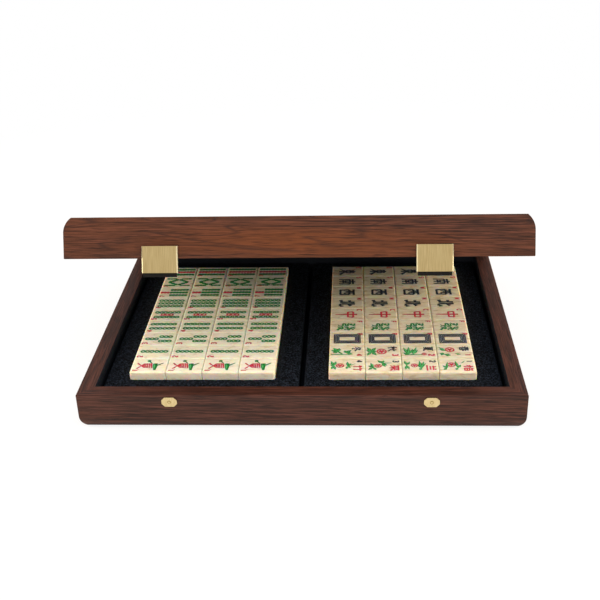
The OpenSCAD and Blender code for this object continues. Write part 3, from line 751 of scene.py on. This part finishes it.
# Cells of the characters on a tile: middle, width and height in mm, and the weight of the strokes
INDEX_CELL = ((-8, 11), 3.6, 4.8, 1.3)
NUMERAL_CELL = ((1, 6.4), 11, 9)
MYRIAD_CELL = ((0.6, -6.2), 13, 12.5, 0.7)
WIND_CELL = ((0.9, -0.6), 13.5, 16.5)
FORTUNE_CELL = ((0.9, -0.6), 14.5, 16.5, 0.72)
CENTRE_CELL = ((0.8, 2.4), 12, 7.6, 1.6)
FLOWER_NUMBER_CELL = ((-6.2, 10.4), 3.8, 5, 1.3)
FLOWER_NAME_CELL = ((4.4, 8.8), 9.6, 8.4, 1.15)
SEASON_NUMBER_CELL = ((5.8, 10.4), 3.8, 5, 1.3)
SEASON_NAME_CELL = ((-4.6, 8.2), 8.6, 8)

# Both sides or ends of a tile, and its middle with them
BOTH = (-1, 1)
ALL = (-1, 0, 1)

# Bamboos: the middle, length, lean and girth of each stick
LONG = 11.4
SHORT = 8.8
HALF_UP = 6.0
MOST_HOLLOW = 6
COLUMN = 5.6
SLIM = 0.7
GREEN_STICKS = {
    2: [((0.6, HALF_UP), LONG), ((0.6, -HALF_UP), LONG)],
    3: [((0, HALF_UP), LONG), ((-3.9, -HALF_UP), LONG), ((3.9, -HALF_UP), LONG)],
    4: [((side * 3.9 + 0.6, end * HALF_UP), LONG) for side in BOTH for end in BOTH],
    5: [((side * 4.6, end * HALF_UP), LONG) for side in BOTH for end in BOTH],
    6: [((side * COLUMN, end * HALF_UP), LONG) for side in ALL for end in BOTH],
    7: [((side * COLUMN, 0.4 - end * SHORT), SHORT) for side in ALL for end in (0, 1)],
    8: [((side * 7.2, end * 7.2), 10, 0, SLIM) for side in BOTH for end in BOTH]
       + [((side * 2.8, end * 4.9), 10.8, -end * side * 0.55, 0.85) for side in BOTH for end in BOTH],
    9: [((side * COLUMN, end * SHORT), SHORT) for side in BOTH for end in ALL],
}
RED_STICKS = {
    5: [((0, 0), LONG)],
    7: [((0, 9.4), SHORT)],
    9: [((0, end * SHORT), SHORT) for end in ALL],
}

# The bird of the first bamboo: crossed red tail, hatched red breast, green wing and neck, round head feather
BIRD_RED = [
    stalk([(3.4, 10.6), (1, 8.6), (-0.9, 6.8)], 0.7), stalk([(-5.4, 10.2), (-3.4, 8.6), (-0.9, 6.8)], 0.7),
    stalk([(-0.9, 6.8), (2.4, 4.6), (2.9, -0.8)], 0.6), stalk([(-0.9, 6.8), (-3.4, 4.4), (-4.6, -2.4)], 0.6),
    stalk([(-0.4, 6), (1.2, 2.6), (1.2, -1.2)], 0.5), stalk([(-0.9, 6), (-0.8, 2), (-0.9, -1.8)], 0.5),
    stalk([(-1.2, 5.6), (-2.4, 2), (-2.8, -2)], 0.5), stalk([(1.8, 4.2), (-3, 3.6)], 0.45),
    stalk([(2.6, 2.2), (-3.6, 1.4)], 0.45), stalk([(2.8, 0.4), (-4.2, -0.6)], 0.45),
    stalk([(2.9, -1), (-4.8, -2.6)], 0.7), stalk([(-8.4, 10.6), (-7.4, 9), (-6.4, 7.6)], 0.35),
]
BIRD_GREEN = [
    spot((7, 1.4), 1.6), stalk([(6, 0.6), (4.4, -0.6), (2.8, -2)], 0.55),
    brush((2.1, 1.9, 0.9), [(2.8, -4.6), (-2.4, -4.9), (-7.8, -5.4)]),
    stalk([(-0.6, -6), (1.4, -8.4), (3.8, -11.4)], 0.75),
]
BIRD_LEAF = [leaf((1.8, -4.2), (-5.8, -5), 0.8)]

for rank, row in zip(RANKS, BAMBOO_ROWS):
    stick = hollow_stick if rank <= MOST_HOLLOW else filled_stick
    green = [stroke for place in GREEN_STICKS.get(rank, []) for stroke in stick(*place)]
    red = [stroke for place in RED_STICKS.get(rank, []) for stroke in stick(*place)]
    red += write(str(rank), *INDEX_CELL)
    if rank == 1:
        paint(row, {"green": [BIRD_GREEN], "leaf": [BIRD_LEAF], "red": [red + BIRD_RED]})
    else:
        paint(row, {"green": [green], "red": [red]})

# Dots: the middle and paint of each disc, and the radius of the discs
DISCS = {
    1: (8.4, [((0, 0), "green")]),
    2: (3.9, [((0, 7), "green"), ((0, -7), "dark")]),
    3: (3.3, [((-6, 9.2), "dark"), ((0, 0), "red"), ((6, -9.2), "green")]),
    4: (3.6, [((-5, 7), "dark"), ((5, 7), "green"), ((-5, -7), "green"), ((5, -7), "dark")]),
    5: (3.3, [((-5.4, 8.2), "dark"), ((5.4, 8.2), "green"), ((0, 0), "red"),
              ((-5.4, -8.2), "green"), ((5.4, -8.2), "dark")]),
    6: (3.1, [((side * 4.6, 8.6), "green") for side in BOTH]
        + [((side * 4.6, up), "red") for side in BOTH for up in (-1, -8.2)]),
    7: (2.6, [((-6, 11), "green"), ((0, 8.6), "green"), ((6, 6.2), "green")]
        + [((side * 4.2, up), "red") for side in BOTH for up in (-2.2, -9.2)]),
    8: (2.6, [((side * 4.2, up), "dark") for side in BOTH for up in (-10.2, -3.4, 3.4, 10.2)]),
    9: (2.7, [((side * 6.2, up), shade) for side in ALL
              for up, shade in ((8.8, "dark"), (0, "red"), (-8.8, "green"))]),
}
DISC_LINE = 0.32
# Radii of the inner ring and the heart, and of the big disc's red rings, as shares of the disc's
INNER_SHARE = 0.55
HEART_DOT_SHARE = 0.24
RED_SHARES = (0.78, 0.4)

for rank, row in zip(RANKS, DOT_ROWS):
    radius, discs = DISCS[rank]
    marks = {"green": [[]], "red": [[]], "dark": [[]]}
    for middle, shade in discs:
        marks[shade][0] += [ring(middle, radius - DISC_LINE, DISC_LINE),
                            ring(middle, radius * INNER_SHARE, DISC_LINE),
                            spot(middle, radius * HEART_DOT_SHARE)]
    if rank == 1:
        marks["red"][0] += [ring((0, 0), radius * share, DISC_LINE) for share in RED_SHARES]
    marks["red"][0] += write(str(rank), *INDEX_CELL)
    paint(row, marks)

# Characters: the rank over the sign for ten thousand
NUMERALS = ["one", "two", "three", "four", "five", "six", "seven", "eight", "nine"]
for rank, row in zip(RANKS, CHARACTER_ROWS):
    paint(row, {
        "dark": [write(NUMERALS[rank - 1], *NUMERAL_CELL)],
        "red": [write("myriad", *MYRIAD_CELL) + write(str(rank), *INDEX_CELL)],
    })

# Winds: character, letter and weight
WINDS = {
    "tiles_north_wind": ("north", "N", 1.15), "tiles_west_wind": ("west", "W", 0.95),
    "tiles_south_wind": ("south", "S", 0.85), "tiles_east_wind": ("east", "E", 0.95),
}
for row, (character, letter, weight) in WINDS.items():
    paint(row, {"dark": [write(character, *WIND_CELL, weight)], "red": [write(letter, *INDEX_CELL)]})

# Dragons: the white one is a frame of four lines, the red one a box on a long tail
FRAME_SIZE = (15, 22.4)
FRAME_LINES = 4
FRAME_PITCH = 1.3
FRAME_HALF = 0.54
FRAME_SHIFT = 0.4
frame_lines = []
for line in range(FRAME_LINES):
    right = FRAME_SIZE[0] / 2 - line * FRAME_PITCH
    head = FRAME_SIZE[1] / 2 - line * FRAME_PITCH
    corners = [(FRAME_SHIFT + side * right, end * head) for side, end in ((-1, -1), (1, -1), (1, 1), (-1, 1))]
    for corner in range(len(corners)):
        frame_lines.append(brush(PEN, [corners[corner - 1], corners[corner]], FRAME_HALF))
TAIL = brush((1.2, 1, 0.5), [(0.8, 9), (0.8, -2), (0.8, -11)])
paint("tiles_white_dragon", {"dark": [frame_lines], "red": [write("P", *INDEX_CELL)]})
paint("tiles_green_dragon", {"green": [write("fortune", *FORTUNE_CELL)], "red": [write("F", *INDEX_CELL)]})
paint("tiles_red_dragon", {"red": [write("centre", *CENTRE_CELL) + [TAIL] + write("C", *INDEX_CELL)]})


# Flowers and seasons: sprays of leaves and stalks with a blossom, a character and a number

PETALS = 5
# Shares of a blossom's radius
OUTER_RING = 0.9
OUTER_LINE = 0.15
BLOSSOM_HEART = 0.3
PETAL_REACH = 0.85
PETAL_HALF = 0.22


def blossom(middle, radius):
    """Petals round a heart, inside a ring."""
    tips = around(middle, radius * PETAL_REACH, PETALS)
    strokes = [ring(middle, radius * OUTER_RING, radius * OUTER_LINE), spot(middle, radius * BLOSSOM_HEART)]
    return strokes + [leaf(middle, tip, radius * PETAL_HALF) for tip in tips]


SPRAY_WEIGHT = 1.45
VEIN_SHARE = 0.42


def spray(root, tips, half_width):
    """Leaves from one root."""
    return [leaf(root, tip, half_width * SPRAY_WEIGHT) for tip in tips]


def veins(strokes):
    """A pale vein along each leaf or stalk."""
    return [([(u, v, half * VEIN_SHARE) for u, v, half in points], closed) for points, closed in strokes]


FLOWERS = ["reed", "chrysanthemum", "orchid", "plum"]
SEASONS = ["winter", "autumn", "summer", "spring"]

flower_sprays = [
    spray((1, -11), [(-6.5, -13.4), (-6, -9.2), (6.4, -13.2), (7, -9.6), (-1, -14)], 1.0)
    + spray((1.5, 0.6), [(-5.6, 0.4), (6, -0.6), (4.2, 3.2), (-2.8, 3.6)], 0.9)
    + [stalk([(1.5, 0.6), (-0.6, 4), (-2.4, 7)])],
    spray((3.5, -8.5), [(-3.6, -10.8), (7.4, -13), (7.6, -6.4), (1, -13)], 0.9)
    + spray((-3, -1.2), [(-8, -4.8), (-7.6, 0.4), (2.6, 1.4), (0.4, 3)], 1.0)
    + [stalk([(-3, -1), (-3.4, 3), (-3.6, 7)])],
    spray((0, -11.4), [(-7, -12.8), (7, -12.4), (-5.6, -8.4), (6.6, -9.2)], 0.9)
    + spray((4.6, 0.8), [(-6.8, -0.6), (-5.6, 3), (-1.4, -2), (7.6, -1)], 1.0)
    + [stalk([(4.6, 0.8), (0, 3.4), (-3, 4.6)])],
    spray((4.6, -8.8), [(-5, -7.8), (7.4, -11.8), (0.4, -12)], 0.9)
    + spray((4.4, 0.2), [(-6.4, -1.2), (-0.6, 3), (7.4, -1.8)], 1.0) + [leaf((-3, 3.4), (-7, 7), 0.6)],
]
flower_blossoms = [((0.6, -5.8), 3.3), ((1.2, -4.6), 2.9), ((0.4, -5), 2.8), ((-0.8, -4.6), 3.4)]
season_sprays = [
    spray((0, -7.6), [(-6, -11.8), (-5.6, -6.6), (-2, -13.6), (2.4, -12)], 1.3)
    + spray((2.4, -1), [(-2.4, 3.6), (3.8, 4.6), (-1.6, -2)], 1.2)
    + [stalk([(5.2, -14), (5, -4), (5.4, 4.6)], 0.6), stalk([(0, -7.6), (5, -3.6)], 0.9)],
    spray((0, -9.8), [(-6.6, -13.4), (6.6, -13.4), (-6.4, -5.8), (6.6, -5.4), (-2, -14), (0, -5)], 1.15),
    spray((5, -9), [(-6.4, -12.8), (-7.4, -8.4), (2, -13.6), (-3.4, -5)], 1.0)
    + spray((5, -5), [(-7, -1.8), (-2.6, -0.8), (-4, -5)], 0.9)
    + [stalk([(5.6, -12), (5.4, -4), (5.2, 3)], 0.6)],
    spray((-1, -7.6), [(-7, -13.4), (-3.4, -12.8)], 0.9) + spray((5, -9), [(6.6, -4), (3.4, -13)], 1.6)
    + [leaf((3.4, 0), (5.4, 4.6), 1.3)],
]
season_blossoms = [None, ((0, -1), 4.2), ((4.4, 4.2), 2.1), ((-2.8, -4), 3.8)]

paint("tiles_flower", {
    "green": flower_sprays,
    "leaf": [veins(strokes) for strokes in flower_sprays],
    "red": [blossom(*flower_blossoms[column]) + write(FLOWERS[column], *FLOWER_NAME_CELL)
            for column in COLUMNS],
    "dark": [write(str(TILES_IN_ROW - column), *FLOWER_NUMBER_CELL) for column in COLUMNS],
})
paint("tiles_season", {
    "green": season_sprays,
    "leaf": [veins(strokes) for strokes in season_sprays],
    "red": [(blossom(*season_blossoms[column]) if season_blossoms[column] else [])
            + write(str(TILES_IN_ROW - column), *SEASON_NUMBER_CELL) for column in COLUMNS],
    "dark": [write(SEASONS[column], *SEASON_NAME_CELL) for column in COLUMNS],
})


# Foam

FOAM_EDGE = 0.8 * MM
FOAM_FIT = 0.1 * MM
FOAM_GRID = 1.7 * MM
PAD_GRID = 3 * MM
FOAM_DENT = 0.35 * MM
DENT_SIZE = 6 * MM
WELL_CLEARANCE = 0.35 * MM

dents = bpy.data.textures.new("foam_dents", "CLOUDS")
dents.noise_scale = DENT_SIZE


def foam_block(name, low, high):
    """A block with the size and place of two corners, alone selected."""
    bpy.ops.object.select_all(action="DESELECT")
    bpy.ops.mesh.primitive_cube_add(size=1, location=(low + high) / 2)
    block = bpy.context.object
    block.name = name
    block.scale = high - low
    bpy.ops.object.transform_apply(location=True, rotation=True, scale=True)
    return block


def soften(piece, grid):
    """Rounds a foam piece's cut edges, lays a fine grid over it and dents its faces a little inwards."""
    edge = piece.modifiers.new("edge", "BEVEL")
    edge.width = FOAM_EDGE
    edge.segments = 3
    skin = piece.modifiers.new("skin", "REMESH")
    skin.mode = "VOXEL"
    skin.voxel_size = grid
    even = piece.modifiers.new("even", "SMOOTH")
    even.iterations = 2
    dent = piece.modifiers.new("dent", "DISPLACE")
    dent.texture = dents
    dent.mid_level = 1
    dent.strength = FOAM_DENT
    for modifier in list(piece.modifiers):
        bpy.ops.object.modifier_apply(modifier=modifier.name)
    bpy.ops.object.shade_smooth()


def foam_tray(name, cad_node, rows):
    """A tray of foam with a well for a block of tiles."""
    low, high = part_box(cad_node)
    fit = Vector((FOAM_FIT,) * 3)
    tray = foam_block(name, low + fit, high - fit)
    tiles_low, tiles_high = block_box(rows)
    clearance = Vector((WELL_CLEARANCE, WELL_CLEARANCE, 0))
    well_low = tiles_low - clearance
    well_high = tiles_high + clearance
    bpy.ops.object.mode_set(mode="EDIT")
    for normal in ((1, 0, 0), (0, 1, 0)):
        for corner in (well_low, well_high):
            bpy.ops.mesh.select_all(action="SELECT")
            bpy.ops.mesh.bisect(plane_co=corner, plane_no=normal)
    bpy.ops.mesh.select_all(action="DESELECT")
    bpy.ops.object.mode_set(mode="OBJECT")
    for face in tray.data.polygons:
        middle = face.center
        over_well = well_low.x < middle.x < well_high.x and well_low.y < middle.y < well_high.y
        level = abs(face.normal.z) > 0.5
        face.select = over_well and level
    bpy.ops.object.mode_set(mode="EDIT")
    bpy.ops.mesh.select_mode(type="FACE")
    bpy.ops.mesh.bridge_edge_loops()
    bpy.ops.object.mode_set(mode="OBJECT")
    soften(tray, FOAM_GRID)
    tray.data.materials.append(black_foam)
    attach(tray, "base")
    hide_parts(cad_node)
    return tray


def lid_foam():
    """The pad in the lid, made with the lid shut and turned with it."""
    shut = lid_turn.inverted()
    low, high = extent([shut @ vertex.co for vertex in frame["nodes"]["lid_pad"].data.vertices])
    fit = Vector((FOAM_FIT,) * 3)
    pad = foam_block("lid_foam_pad", low + fit, high - fit)
    soften(pad, PAD_GRID)
    pad.matrix_world = lid_turn
    bpy.ops.object.transform_apply(location=True, rotation=True, scale=True)
    pad.data.materials.append(black_foam)
    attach(pad, "lid")
    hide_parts("lid_pad")
    return pad


foam_tray("foam_insert_left", "foam_tray_left", LEFT_BLOCK)
foam_tray("foam_insert_right", "foam_tray_right", RIGHT_BLOCK)
lid_foam()

# Stage

FLOOR_SIZE = 8
FLOOR_DROP = 0.2 * MM
bpy.ops.object.select_all(action="DESELECT")
bpy.ops.mesh.primitive_plane_add(size=FLOOR_SIZE, location=(0, 0, -FLOOR_DROP))
floor = bpy.context.object
floor.name = "floor"

# White painted floor: the camera sees it near white, with a part of its shading near the case
FLOOR_WHITE = "#f2f2f2"
FLOOR_EVEN = 0.8
SHADOW_REACH = 0.2
SHADOW_END = 0.8
floor_paint, tree, place = new_material("white_floor")
matt = node(tree, "ShaderNodeBsdfDiffuse", {"Color": colour(FLOOR_WHITE)})
even = node(tree, "ShaderNodeEmission", {"Color": (1, 1, 1, 1), "Strength": 1})
ray = node(tree, "ShaderNodeLightPath")
away = node(tree, "ShaderNodeVectorMath", {0: place}, operation="LENGTH")
whiter = node(tree, "ShaderNodeMapRange", {
    "Value": away, "From Min": SHADOW_REACH, "From Max": SHADOW_END, "To Min": FLOOR_EVEN, "To Max": 1})
share = node(tree, "ShaderNodeMath", {0: ray.outputs["Is Camera Ray"], 1: whiter}, operation="MULTIPLY")
blend = node(tree, "ShaderNodeMixShader", {0: share, 1: matt, 2: even})
node(tree, "ShaderNodeOutputMaterial", {"Surface": blend})
floor.data.materials.append(floor_paint)

# World: white where the camera, gloss or glass sees it, softer as light
WORLD_LIGHT = 0.6
world = bpy.data.worlds.new("studio")
bpy.context.scene.world = world
world.use_nodes = True
tree = world.node_tree
tree.nodes.clear()
ray = node(tree, "ShaderNodeLightPath")
seen = node(tree, "ShaderNodeMath", {0: ray.outputs["Is Camera Ray"], 1: ray.outputs["Is Glossy Ray"]},
            operation="MAXIMUM")
seen = node(tree, "ShaderNodeMath", {0: seen, 1: ray.outputs["Is Transmission Ray"]}, operation="MAXIMUM")
strength = node(tree, "ShaderNodeMapRange", {"Value": seen, "To Min": WORLD_LIGHT, "To Max": 1})
sky = node(tree, "ShaderNodeBackground", {"Color": (1, 1, 1, 1), "Strength": strength})
node(tree, "ShaderNodeOutputWorld", {"Surface": sky})


def softbox(name, place, target, width, height, power, tint):
    """A rectangular lamp that faces a target. Gloss shows the white world in its place."""
    bpy.ops.object.light_add(type="AREA", location=place)
    lamp = bpy.context.object
    lamp.name = name
    lamp.data.shape = "RECTANGLE"
    lamp.data.size = width
    lamp.data.size_y = height
    lamp.data.energy = power
    lamp.data.color = tint
    lamp.rotation_euler = (Vector(target) - Vector(place)).to_track_quat("-Z", "Y").to_euler()
    lamp.visible_glossy = False
    return lamp


# Places and sizes in metres, power in watts
PLAIN = (1, 1, 1)
WARM = (1, 0.86, 0.66)
WARMER = (1, 0.8, 0.55)
softbox("front_softbox", (0.1, -1.0, 1.45), (0, -0.1, 0.05), 1.6, 1.4, 20.5, PLAIN)
softbox("left_softbox", (-1.4, 0.08, 0.42), (0, 0.05, 0.04), 0.8, 0.6, 25, WARM)
softbox("right_softbox", (1.4, 0.08, 0.42), (0, 0.05, 0.04), 0.8, 0.6, 25, WARM)
softbox("low_softbox", (0, -1.8, 0.42), (0, 0.05, 0.05), 1.4, 0.25, 3.6, WARMER)

# Camera: the photograph's angle and distance, in a square frame
IMAGE_SIDE = 600
FOCAL_PIXELS = 993.48
SENSOR_WIDTH = 36
ELEVATION = math.radians(27.359)
YAW = math.radians(-3.4989)
ROLL = math.radians(-1.8474)
DISTANCE = 874.29 * MM
AIM = Vector((-3.86, -27.5, 59.78)) * MM
forward = Vector((math.sin(YAW) * math.cos(ELEVATION), math.cos(YAW) * math.cos(ELEVATION),
                  -math.sin(ELEVATION)))
level_right = Vector((math.cos(YAW), -math.sin(YAW), 0))
level_up = level_right.cross(forward)
right = level_right * math.cos(ROLL) + level_up * math.sin(ROLL)
up = level_up * math.cos(ROLL) - level_right * math.sin(ROLL)
turned = Matrix((right, up, -forward)).transposed()
bpy.ops.object.camera_add(location=AIM - forward * DISTANCE, rotation=turned.to_euler())
camera = bpy.context.object
camera.data.sensor_width = SENSOR_WIDTH
camera.data.lens = FOCAL_PIXELS * SENSOR_WIDTH / IMAGE_SIDE
bpy.context.scene.camera = camera

bpy.context.scene.view_settings.view_transform = "Standard"
